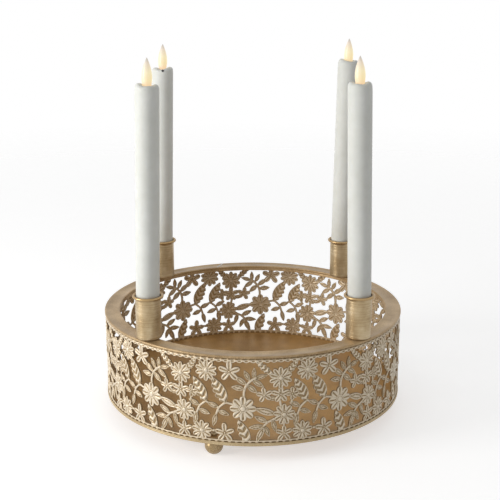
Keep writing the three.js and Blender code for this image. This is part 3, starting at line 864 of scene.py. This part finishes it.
# Daisies: middle, petal reach, petals, first petal, petal half width, boss radius
DAISIES = [
    ((0, 36.8), 12.4, 8, 0, 3.3, 4.3),
    ((-34, 72.2), 10.8, 10, 90, 2.4, 3.5),
    ((34.2, 66.2), 11, 10, 90, 2.4, 3.4),
    ((37.5, 30.4), 10.6, 9, 90, 2.5, 3.5),
    ((-38.6, 12.8), 10.2, 9, 90, 2.4, 3.4),
]

# Blossoms with five parted petals: middle, (direction, reach) of each petal, half width
BLOSSOMS = [
    ((-12.5, 72.3), ((90, 11), (20, 10.6), (-45, 10.6), (-130, 10.4), (160, 10.6)), 2.8),
    ((-16.8, 12.4), ((95, 10), (20, 9.4), (-50, 10), (235, 10), (170, 9.4)), 2.6),
    ((34.4, 50.2), ((90, 8), (18, 9), (-54, 8.6), (-126, 8.6), (162, 9.4)), 2.5),
    ((19.3, 50.2), ((100, 7.6), (170, 7.6), (240, 7.8), (-35, 7.6), (25, 8.2)), 2.3),
    ((45, 50), ((90, 7), (180, 6.4), (10, 7), (-90, 6.4), (-40, 6)), 2.1),
    ((37.5, 12), ((90, 7.6), (20, 8.4), (160, 8.4), (232, 9), (308, 9)), 2.3),
]

# Leaves: foot, tip, width
LEAVES = [
    ((1.4, 56.2), (-11, 57.8), 5.6),
    ((3.2, 60.2), (-8, 68.4), 5.4),
    ((6, 64.4), (0.8, 74), 4.8),
    ((9.8, 66), (10.2, 77), 4.6),
    ((11, 66.4), (22.6, 69.6), 4.6),
    ((8.2, 65.2), (19.4, 57.6), 5.2),
    ((3.8, 60), (13.2, 52), 5.6),
    ((30, 31), (9.5, 37.4), 7),
    ((22, 23.6), (10, 29.4), 5.6),
    ((19, 19.6), (4.6, 18.2), 5.2),
    ((20, 19.4), (24.2, 8.8), 4.8),
    ((18.8, 18.6), (11.8, 3.6), 5.6),
    ((26.6, 25.6), (30.2, 13), 5),
    ((21.6, 46.8), (33, 46.2), 4.6),
    ((-24.8, 30.6), (-27.8, 17.6), 5),
    ((-22.4, 37), (-33.6, 41), 5.2),
    ((-23, 33.8), (-12, 30), 5.2),
    ((-43.4, 30.6), (-46, 16.8), 5.4),
    ((-41, 37.2), (-51, 41.8), 5.2),
    ((-41.4, 33.4), (-30.2, 29.6), 5.2),
]

# Feather leaves: foot, tip, width, teeth
FEATHERS = [
    ((-16, 42), (-28.6, 66.4), 12.4, 5),
    ((-34.5, 41.8), (-46.4, 64.8), 11.6, 5),
    ((4.8, 3), (-4.6, 26), 10.6, 4),
]

# Toothed stems between the top flower and the border: foot, tip, width, teeth
FRONDS = [
    ((26.8, 69), (11, 83.8), 6.8, 5),
    ((40.2, 69.4), (51, 84), 7, 5),
]

# Stems: width and the points that they pass
STEMS = [
    (2.5, (0.6, 46), (0.8, 53), (2.2, 58), (4.5, 61.5), (8, 65), (12, 67)),
    (2.3, (-9, 40.8), (-15.7, 42.2), (-18.5, 40.4), (-21.4, 37.7), (-23.2, 34.9), (-25, 29.6)),
    (2.3, (-34.2, 42), (-37, 40), (-39.9, 37.4), (-41.7, 34.6), (-43.6, 29)),
    (2.3, (-29.5, 40), (-34.4, 41.8)),
    (2.4, (18.4, 19.6), (22.5, 23.7), (26.5, 25.5), (30.4, 28)),
    (2.4, (34.4, 58), (34.2, 54)),
    (2.5, (33.4, 45), (34.4, 38)),
    (2.3, (37.2, 22.4), (37.4, 17)),
    (2.3, (44.6, 45.6), (44.2, 41), (43.2, 41.4)),
    (2.3, (-24, 14), (-30, 13.8)),
    (2.3, (44.2, 31), (48.4, 29.6), (48, 28)),
]


def draw_relief():
    relief = Relief()
    for width, *points in STEMS:
        lay_stem(relief, width, *points)
    for foot, tip, width in LEAVES:
        lay_leaf(relief, foot, tip, width)
    for foot, tip, width, teeth in FEATHERS:
        lay_feather(relief, foot, tip, width, teeth)
    for foot, tip, width, teeth in FRONDS:
        lay_feather(relief, foot, tip, width, teeth, both_sides=True)
    for centre, petals, half_width in BLOSSOMS:
        for degrees, reach in petals:
            lay_petal(relief, centre, degrees, BLOSSOM_PETAL_START, reach, half_width)
        lay_boss(relief, centre, BLOSSOM_BOSS)
    for centre, reach, petals, first, half_width, boss in DAISIES:
        start = DAISY_PETAL_SHARE * boss
        for i in range(petals):
            lay_petal(relief, centre, first + 360 * i / petals, start, reach, half_width)
        lay_boss(relief, centre, boss)
    lay_border(relief)
    return relief


# How near to a grid point, as a share of the line, the cut may cross a grid line
CUT_MARGIN = 0.06


def cut_grid(edge):
    """Faces of the grid inside the cut line. Crossings of grid lines get their own points."""
    inside = edge > 0
    points = {}
    places = []

    def point(i, j, k, m):
        """The corner (i, j), or where the cut crosses the line from it to (k, m)."""
        key = (i, j, k, m) if (i, j) <= (k, m) else (k, m, i, j)
        if key not in points:
            points[key] = len(places)
            share = 0.0
            if (i, j) != (k, m):
                low, high = edge[key[0], key[1]], edge[key[2], key[3]]
                share = min(max(low / (low - high), CUT_MARGIN), 1 - CUT_MARGIN)
            places.append((*key, share))
        return points[key]

    faces = []
    for i in range(GRID_COLUMNS):
        for j in range(GRID_ROWS):
            corners = ((i, j), (i + 1, j), (i + 1, j + 1), (i, j + 1))
            flags = [inside[corner] for corner in corners]
            if not any(flags):
                continue
            face = []
            for c in range(4):
                here, there = corners[c], corners[(c + 1) % 4]
                if flags[c]:
                    face.append(point(*here, *here))
                if flags[c] != flags[(c + 1) % 4]:
                    face.append(point(*here, *there))
            faces.append(face)
    return np.array(places), faces


# Tone of the band, from 0 for dark painted shade to 1 for bright worn metal. Painted shade darkens
# the slopes most at one height, outside and inside, and also the hollows and the cut edges.
DARK_HEIGHT = 0.35
FRONT_TONE = 0.6
FRONT_WEAR = 0.35
FRONT_WEAR_HEIGHTS = (0.5, 0.95)
# Painted shade on the front: slopes, hollows, and the tone of its shaded cut edges
FRONT_SLOPE_DARK = 0.44
FRONT_SLOPE_WIDTH = 0.2
FRONT_HOLLOW_DARK = 0.45
FRONT_HOLLOW_DEPTHS = (0.15, 0.6)
FRONT_CUT_TONE = 0.16
BACK_TONE = 0.8
# Painted shade on the back: slopes, hollows, and the tone of its shaded cut edges
BACK_SLOPE_DARK = 0.55
BACK_SLOPE_WIDTH = 0.25
BACK_HOLLOW_DARK = 0.4
BACK_HOLLOW_DEPTHS = (0.0, 0.3)
BACK_CUT_TONE = 0.3


def tones(height, on_cut):
    """Tones of the points in front, and then of the points behind them."""
    # Painted shade in front: on the slopes at one height and in the hollows
    painted_shade = FRONT_SLOPE_DARK * crease(height - DARK_HEIGHT, FRONT_SLOPE_WIDTH)
    painted_shade += FRONT_HOLLOW_DARK * smooth(-height, *FRONT_HOLLOW_DEPTHS)
    worn = FRONT_TONE + FRONT_WEAR * smooth(height, *FRONT_WEAR_HEIGHTS)
    # Painted shade behind: on the slopes and in the hollows
    shade = BACK_SLOPE_DARK * crease(height - DARK_HEIGHT, BACK_SLOPE_WIDTH)
    shade += BACK_HOLLOW_DARK * smooth(-height, *BACK_HOLLOW_DEPTHS)
    # The cut edges get a dark tone of painted shade
    front_tone = np.where(on_cut, FRONT_CUT_TONE, worn - painted_shade)
    back_tone = np.where(on_cut, BACK_CUT_TONE, BACK_TONE - shade)
    return np.concatenate([front_tone, back_tone])


def cut_walls(faces, u, count):
    """Walls between front and back along the cuts, but not along the seams of a repeat."""
    tolerance = 1e-6
    first_seam, last_seam = GRID_U[0, 0] + tolerance, GRID_U[-1, 0] - tolerance
    edges = {(face[k - 1], face[k]) for face in faces for k in range(len(face))}
    walls = []
    for a, b in edges:
        at_seam = max(u[a], u[b]) < first_seam or min(u[a], u[b]) > last_seam
        if (b, a) not in edges and not at_seam:
            walls.append([b, a, a + count, b + count])
    return sorted(walls)


def band():
    relief = draw_relief()
    places, front_faces = cut_grid(relief.edge)
    first = places[:, 0].astype(int), places[:, 1].astype(int)
    second = places[:, 2].astype(int), places[:, 3].astype(int)
    share = places[:, 4]
    on_cut = (first[0] != second[0]) | (first[1] != second[1])

    def between(grid):
        return grid[first] + (grid[second] - grid[first]) * share

    u, v = between(GRID_U), between(GRID_V)
    height = np.where(on_cut, 0.0, relief.height[first])
    count = len(places)
    front = BAND_RADIUS + height
    back = BAND_RADIUS - BAND_SHEET + EMBOSS_THROUGH * np.maximum(height, 0)
    radius = np.concatenate([front, back])
    angle = np.radians(PATTERN_TURN + np.tile(u, 2) / PATTERN_WIDTH * 360 / PANEL_COUNT)
    z = FLOOR_TOP + np.tile(v, 2) - PATTERN_FOOT
    vertices = np.stack([radius * np.sin(angle), -radius * np.cos(angle), z], axis=1)
    back_faces = [[k + count for k in reversed(face)] for face in front_faces]
    faces = front_faces + back_faces + cut_walls(front_faces, u, count)
    # Tones with painted shade on the slopes, in the hollows and at the cut edges
    tone = tones(height, on_cut).astype(np.float32)
    for panel in range(PANEL_COUNT):
        turn = Matrix.Rotation(2 * math.pi * panel / PANEL_COUNT, 3, "Z")
        number = f"{panel + 1:02d}"
        piece = add_piece(
            f"lace_{number}",
            (vertices @ np.array(turn).T).tolist(),
            faces,
            BAND_METAL,
            "tray",
            [f"lace_panel_{number}"],
        )
        attribute = piece.data.attributes.new("relief", "FLOAT", "POINT")
        attribute.data.foreach_set("value", tone)


# Cups, with a rolled lip and the fine grooves that the lathe left
def lathe_grooves():
    last = CUP_HEIGHT - LATHE_GROOVE_HEADROOM
    grooves = []
    for i, height in enumerate(np.arange(LATHE_GROOVE_FOOT, last, LATHE_GROOVE_PITCH)):
        depth = LATHE_GROOVE_DEPTH
        for size, rate in LATHE_GROOVE_WAVES:
            depth += size * math.sin(rate * i)
        grooves.append((CUP_RADIUS, height))
        grooves.append((CUP_RADIUS - depth, height + LATHE_GROOVE_WIDTH / 2))
        grooves.append((CUP_RADIUS, height + LATHE_GROOVE_WIDTH))
    return grooves


def cup(name, x, y):
    corner = (CUP_RADIUS - CUP_CORNER, CUP_CORNER)
    lip = (CUP_LIP_RADIUS - CUP_LIP_ROLL, CUP_HEIGHT - CUP_LIP_ROLL)
    profile = [
        (RIVET_HOLE_RADIUS, 0),
        *arc(corner, CUP_CORNER, -90, 0, CUP_CORNER_STEPS),
        *lathe_grooves(),
        (CUP_RADIUS, CUP_HEIGHT - CUP_FLARE_FOOT_DROP),
        (CUP_RADIUS + CUP_FLARE, CUP_HEIGHT - CUP_FLARE_HEAD_DROP),
        *arc(lip, CUP_LIP_ROLL, *CUP_LIP_ARC, CUP_LIP_STEPS),
        (CUP_BORE + CUP_FLARE, CUP_HEIGHT - CUP_LIP_ROLL),
        (CUP_BORE, CUP_HEIGHT - CUP_MOUTH_DROP),
        (CUP_BORE, CUP_FLOOR + CUP_FLOOR_FILLET),
        (CUP_BORE - CUP_FLOOR_FILLET, CUP_FLOOR),
        (RIVET_HOLE_RADIUS, CUP_FLOOR),
    ]
    vertices, faces = turned(profile, CUP_STEPS, ring=True)
    replaced = [f"candle_cup_{name}"]
    add_piece(f"cup_{name}", vertices, faces, CUP_METAL, "tray", replaced, at(x, y, RIM_TOP))


def rivet(name, x, y):
    grip = CUP_FLOOR + RIM_SHEET
    tail = -grip - RIVET_HEAD_HEIGHT
    tail_edge = (RIVET_TAIL_RADIUS - RIVET_TAIL_ROUNDING, tail + RIVET_TAIL_ROUNDING)
    profile = [
        (0, tail),
        *arc(tail_edge, RIVET_TAIL_ROUNDING, -90, 0, RIVET_TAIL_STEPS),
        (RIVET_TAIL_RADIUS, -grip),
        (RIVET_SHANK_RADIUS, -grip),
        (RIVET_SHANK_RADIUS, 0),
        *RIVET_HEAD,
    ]
    vertices, faces = turned(profile, FASTENER_STEPS)
    place = at(x, y, RIM_TOP + CUP_FLOOR)
    replaced = [f"cup_rivet_{name}"]
    add_piece(f"rivet_{name}", vertices, faces, STEEL, "tray", replaced, place)


# Feet
def foot(number, x, y):
    centre = FOOT_RADIUS - FOOT_FLAT
    flat_angle = math.degrees(math.asin(centre / FOOT_RADIUS))
    neck_angle = math.degrees(math.acos((FOOT_NECK_RADIUS + FOOT_NECK_FILLET) / FOOT_RADIUS))
    hole_foot = FLOOR_TOP - SCREW_LENGTH - PLAY
    profile = [
        (0, 0),
        *arc((0, centre), FOOT_RADIUS, -flat_angle, neck_angle, FOOT_BALL_STEPS),
        (FOOT_NECK_RADIUS, centre + FOOT_NECK_RISE),
        (FOOT_NECK_RADIUS, FLOOR_BOTTOM),
        (SCREW_HOLE_RADIUS, FLOOR_BOTTOM),
        (SCREW_HOLE_RADIUS, hole_foot),
        (0, hole_foot),
    ]
    vertices, faces = turned(profile, FOOT_STEPS)
    replaced = [f"ball_foot_{number}"]
    add_piece(f"foot_{number}", vertices, faces, FOOT_METAL, "tray", replaced, at(x, y, 0))


def screw(number, x, y):
    profile = [
        (0, -SCREW_LENGTH),
        (SCREW_SHANK_RADIUS, -SCREW_LENGTH),
        (SCREW_SHANK_RADIUS, 0),
        *SCREW_HEAD,
    ]
    vertices, faces = turned(profile, FASTENER_STEPS)
    place = at(x, y, FLOOR_TOP)
    replaced = [f"foot_screw_{number}"]
    add_piece(f"screw_{number}", vertices, faces, FOOT_METAL, "tray", replaced, place)


# Candles
def candle_place(x, y, lean):
    """A candle stands in its cup just above the rivet, leaning about the middle of the mouth."""
    mouth = CUP_HEIGHT - CUP_FLOOR
    tilt = math.radians(lean)
    drop = CANDLE_FOOT_RADIUS * math.sin(abs(tilt))
    stand = at(x, y, RIM_TOP + CUP_HEIGHT)
    foot_height = RIVET_HEAD_HEIGHT + PLAY + drop - mouth
    return stand @ Matrix.Rotation(tilt, 4, "Y") @ at(0, 0, foot_height)


def melter(length, rise, tilt, start):
    """Moves points of the wall, which has melted unevenly, and most at the back and front."""

    def melted(radius, height, angle):
        share = min(1.0, max(0.0, (height - (length - MELT_DEPTH)) / MELT_DEPTH))
        fade = share**2 * min(1.0, max(0.0, (radius - MELT_INNER_RADIUS) / MELT_FADE))
        side = rise - tilt * math.cos(angle)
        dip = MELT_DIP * math.sin(angle) ** 2 + MELT_BACK_DIP * max(0.0, math.sin(angle)) ** 2
        wave = MELT_WAVES[0] * math.sin(4 * angle + start)
        wave += MELT_WAVES[1] * math.sin(5 * angle + 2.3 * start)
        slump = MELT_SLUMP * fade * (1 + math.sin(2 * angle + start))
        return radius - slump, height + fade * (side - dip + wave)

    return melted


def wax(name, place, length, melted):
    sleeve_foot = CAP_FLANGE + PLAY
    ceiling = length - CANDLE_TOP_THICKNESS
    shoulder = (CANDLE_RADIUS - SHOULDER_INSET, length - SHOULDER_RADIUS)
    profile = [
        (CANDLE_BORE, sleeve_foot),
        (CANDLE_FOOT_RADIUS - CANDLE_ROUNDING, sleeve_foot),
        (CANDLE_FOOT_RADIUS, sleeve_foot + CANDLE_ROUNDING),
        (CANDLE_FOOT_RADIUS, CANDLE_FOOT_LENGTH - CANDLE_CHAMFER),
        (CANDLE_RADIUS - CANDLE_ROUNDING, CANDLE_FOOT_LENGTH - PLAY),
        (CANDLE_RADIUS, CANDLE_FOOT_LENGTH + CANDLE_ROUNDING),
        *[(CANDLE_RADIUS, height) for height in WALL_HEIGHTS],
        *[(CANDLE_RADIUS, length - drop) for drop in WALL_DROPS],
        (CANDLE_RADIUS - SLOUCH_INSET, length - SLOUCH_DROP),
        *arc(shoulder, SHOULDER_RADIUS, *SHOULDER_ARC, SHOULDER_STEPS),
        *[(radius, length - drop) for radius, drop in DISH],
        (SOCKET_RADIUS, length - DISH_DEPTH),
        (SOCKET_RADIUS, ceiling),
        (CANDLE_BORE, ceiling),
    ]
    vertices, faces = turned(profile, CANDLE_STEPS, ring=True, waver=melted)
    replaced = [f"wax_{name}"]
    add_piece(f"sleeve_{name}", vertices, faces, WAX, f"candle_{name}", replaced, place)


def flame(name, place, length):
    foot_height = length - CANDLE_TOP_THICKNESS + PLAY
    pocket = foot_height + FLAME_POCKET_DEPTH
    start = length - DISH_DEPTH
    profile = [
        (0, pocket),
        (FLAME_SOCKET_RADIUS, pocket),
        (FLAME_SOCKET_RADIUS, foot_height),
        (FLAME_STEM_RADIUS, foot_height),
        (FLAME_STEM_RADIUS, start + PLAY),
        *[(FLAME_RADIUS * width, start + FLAME_LENGTH * share) for width, share in FLAME_OUTLINE],
        (0, start + FLAME_LENGTH),
    ]
    vertices, faces = turned(profile, FLAME_STEPS)
    glow = flame_glow(name, length)
    replaced = [f"flame_{name}"]
    add_piece(f"glow_{name}", vertices, faces, glow, f"candle_{name}", replaced, place)


def receiver_eye(name, place, length):
    """The small dark dome in front of the flame of one candle."""
    curve = arc((0, 0), EYE_RADIUS, *EYE_ARC, EYE_ARC_STEPS)
    vertices, faces = turned([(0, -EYE_RADIUS), *curve, (0, EYE_RADIUS)], EYE_STEPS)
    seat = place @ at(EYE_X, EYE_Y, length - EYE_DROP)
    add_piece(f"eye_{name}", vertices, faces, SWITCH_PLASTIC, f"candle_{name}", [], seat)


def dress(node, material):
    mesh = frame["nodes"][node].data
    mesh.materials.clear()
    mesh.materials.append(material)


def candles():
    for i, (name, length, lean) in enumerate(zip(CANDLE_NAMES, CANDLE_LENGTHS, CANDLE_LEANS)):
        x, y = place_at(CUP_FIRST_ANGLE + 360 * i / CUP_COUNT, TRAY_RADIUS - CUP_INSET)
        cup(name, x, y)
        rivet(name, x, y)
        place = candle_place(x, y, lean)
        melted = melter(length, WAX_RISES[i], WAX_TILTS[i], WAX_WAVE_STARTS[i])
        wax(name, place, length, melted)
        flame(name, place, length)
        dress(f"base_cap_{name}", CAP_PLASTIC)
        dress(f"switch_{name}", SWITCH_PLASTIC)
        dress(f"led_board_{name}", BOARD_PLASTIC)
        dress(f"battery_holder_{name}", HOLDER_PLASTIC)
        dress(f"lower_cell_{name}", CELL_METAL)
        dress(f"upper_cell_{name}", CELL_METAL)
        if name == EYE_CANDLE:
            receiver_eye(name, place, length)


def feet():
    for i in range(FOOT_COUNT):
        x, y = place_at(FOOT_FIRST_ANGLE + 360 * i / FOOT_COUNT, TRAY_RADIUS - FOOT_INSET)
        foot(i + 1, x, y)
        screw(i + 1, x, y)


# Studio
def camera():
    data = bpy.data.cameras.new("camera")
    data.sensor_width = SENSOR_WIDTH
    data.lens = CAMERA_LENS
    data.shift_x = CAMERA_SHIFT
    data.clip_end = CAMERA_REACH
    eye = bpy.data.objects.new("camera", data)
    eye.location = CAMERA_PLACE
    eye.rotation_euler = (math.radians(90 - CAMERA_PITCH), 0.0, 0.0)
    bpy.context.scene.collection.objects.link(eye)
    bpy.context.scene.camera = eye


def key_lamp():
    data = bpy.data.lights.new("key", "AREA")
    data.shape = "RECTANGLE"
    data.size, data.size_y = LAMP_SIZE
    data.energy = LAMP_POWER
    data.color = LAMP_COLOUR
    lamp = bpy.data.objects.new("key", data)
    lamp.location = LAMP_PLACE
    towards = Vector(LAMP_PLACE) - Vector(LAMP_TARGET)
    lamp.rotation_euler = towards.to_track_quat("Z", "Y").to_euler()
    bpy.context.scene.collection.objects.link(lamp)


def background(tree, strength):
    node = tree.nodes.new("ShaderNodeBackground")
    node.inputs["Color"].default_value = (1.0, 1.0, 1.0, 1.0)
    node.inputs["Strength"].default_value = strength
    return node.outputs[0]


def seen(tree):
    """1 for what the camera and reflections see, and 0 for the light that falls on pieces."""
    path = tree.nodes.new("ShaderNodeLightPath")
    result = path.outputs["Is Camera Ray"]
    for ray in ("Is Glossy Ray", "Is Transmission Ray"):
        either = tree.nodes.new("ShaderNodeMath")
        either.operation = "MAXIMUM"
        tree.links.new(result, either.inputs[0])
        tree.links.new(path.outputs[ray], either.inputs[1])
        result = either.outputs[0]
    return result


def mixed_shader(tree, factor, first, second):
    mix = tree.nodes.new("ShaderNodeMixShader")
    tree.links.new(factor, mix.inputs[0])
    tree.links.new(first, mix.inputs[1])
    tree.links.new(second, mix.inputs[2])
    return mix.outputs[0]


def world():
    """Soft light all round, seen as white by the camera and in reflections."""
    surroundings = bpy.data.worlds.new("studio")
    bpy.context.scene.world = surroundings
    surroundings.use_nodes = True
    tree = surroundings.node_tree
    light = background(tree, WORLD_LIGHT)
    white = background(tree, 1.0)
    surface = mixed_shader(tree, seen(tree), light, white)
    tree.links.new(surface, tree.nodes["World Output"].inputs["Surface"])


def floor():
    """White paper that shows the shadow of the wreath and fades into the white behind it."""
    mesh = bpy.data.meshes.new("floor")
    sides = ((-1, -1), (1, -1), (1, 1), (-1, 1))
    mesh.from_pydata([(x * PAPER_REACH, y * PAPER_REACH, 0) for x, y in sides], [], [(0, 1, 2, 3)])
    shader = Shader("floor_paper", Roughness=0.9)
    tree = shader.tree
    dark, light = ((tone, tone, tone, 1.0) for tone in PAPER_TONES)
    shader.finish(shader.ramp(shader.noise(300.0), (0.3, dark), (0.7, light)))
    lift = shader.node("ShaderNodeMath", (("operation", "MULTIPLY"),))
    tree.links.new(seen(tree), lift.inputs[0])
    lift.inputs[1].default_value = PAPER_GLOW
    glow = shader.node("ShaderNodeEmission", Strength=lift.outputs[0])
    paper = tree.nodes.new("ShaderNodeAddShader")
    tree.links.new(shader.principled.outputs[0], paper.inputs[0])
    tree.links.new(glow.outputs[0], paper.inputs[1])
    fade = shader.share(shader.length(shader.coordinates), *PAPER_FADE)
    clear = tree.nodes.new("ShaderNodeBsdfTransparent").outputs[0]
    surface = mixed_shader(tree, fade, paper.outputs[0], clear)
    tree.links.new(surface, tree.nodes["Material Output"].inputs["Surface"])
    mesh.materials.append(shader.material)
    plane = bpy.data.objects.new("floor", mesh)
    bpy.context.scene.collection.objects.link(plane)


camera()
world()
floor()
key_lamp()
rim()
rim_joint()
pan()
band()
feet()
candles()

bpy.context.scene.view_settings.view_transform = "Standard"
